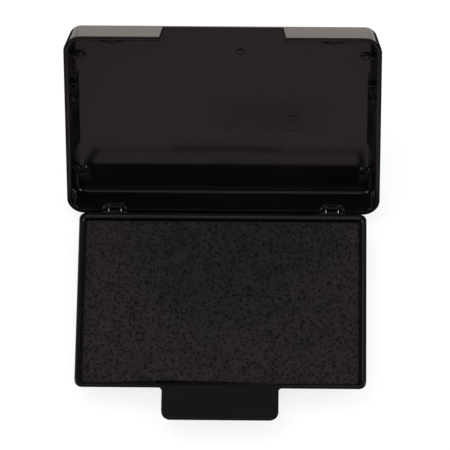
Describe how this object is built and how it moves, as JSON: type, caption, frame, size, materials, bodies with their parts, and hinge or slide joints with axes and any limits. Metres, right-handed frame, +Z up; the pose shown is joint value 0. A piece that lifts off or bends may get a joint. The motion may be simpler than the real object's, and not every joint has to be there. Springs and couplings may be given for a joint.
{
  "type": "hinged ink pad",
  "caption": "Black plastic ink pad: a shallow tray with a pull tab and an inked felt, and a notched cover that flips open on a rear hinge.",
  "frame": {"origin": "centre of the tray's flat underside", "axes": "+Z up out of the felt, +X to the right seen from the tab side, +Y to the back where the hinge is"},
  "size_m": [0.0738, 0.0848, 0.0457],
  "materials": {
    "black_plastic": "smooth moulded black, slightly glossy",
    "cover_plastic": "smooth moulded black, glossy inside",
    "inked_felt": "dense felt soaked with black ink, mottled brown-black",
    "inked_foam": "ink-soaked foam",
    "adhesive": "thin double-sided adhesive sheet",
    "pin_steel": "plain drawn wire"
  },
  "bodies": {
    "base": {"tray_shell": "black_plastic", "felt_pad": "inked_felt", "ink_core": "inked_foam", "adhesive_sheet": "adhesive", "hinge_pin_left": "pin_steel", "hinge_pin_right": "pin_steel"},
    "cover": {"cover_shell": "cover_plastic"}
  },
  "joints": [
    {"name": "cover_hinge", "type": "hinge", "parent": "base", "child": "cover", "pos_m": [0, 0.02477, 0.00235], "axis": [1, 0, 0], "range_deg": [0, 119]}
  ]
}
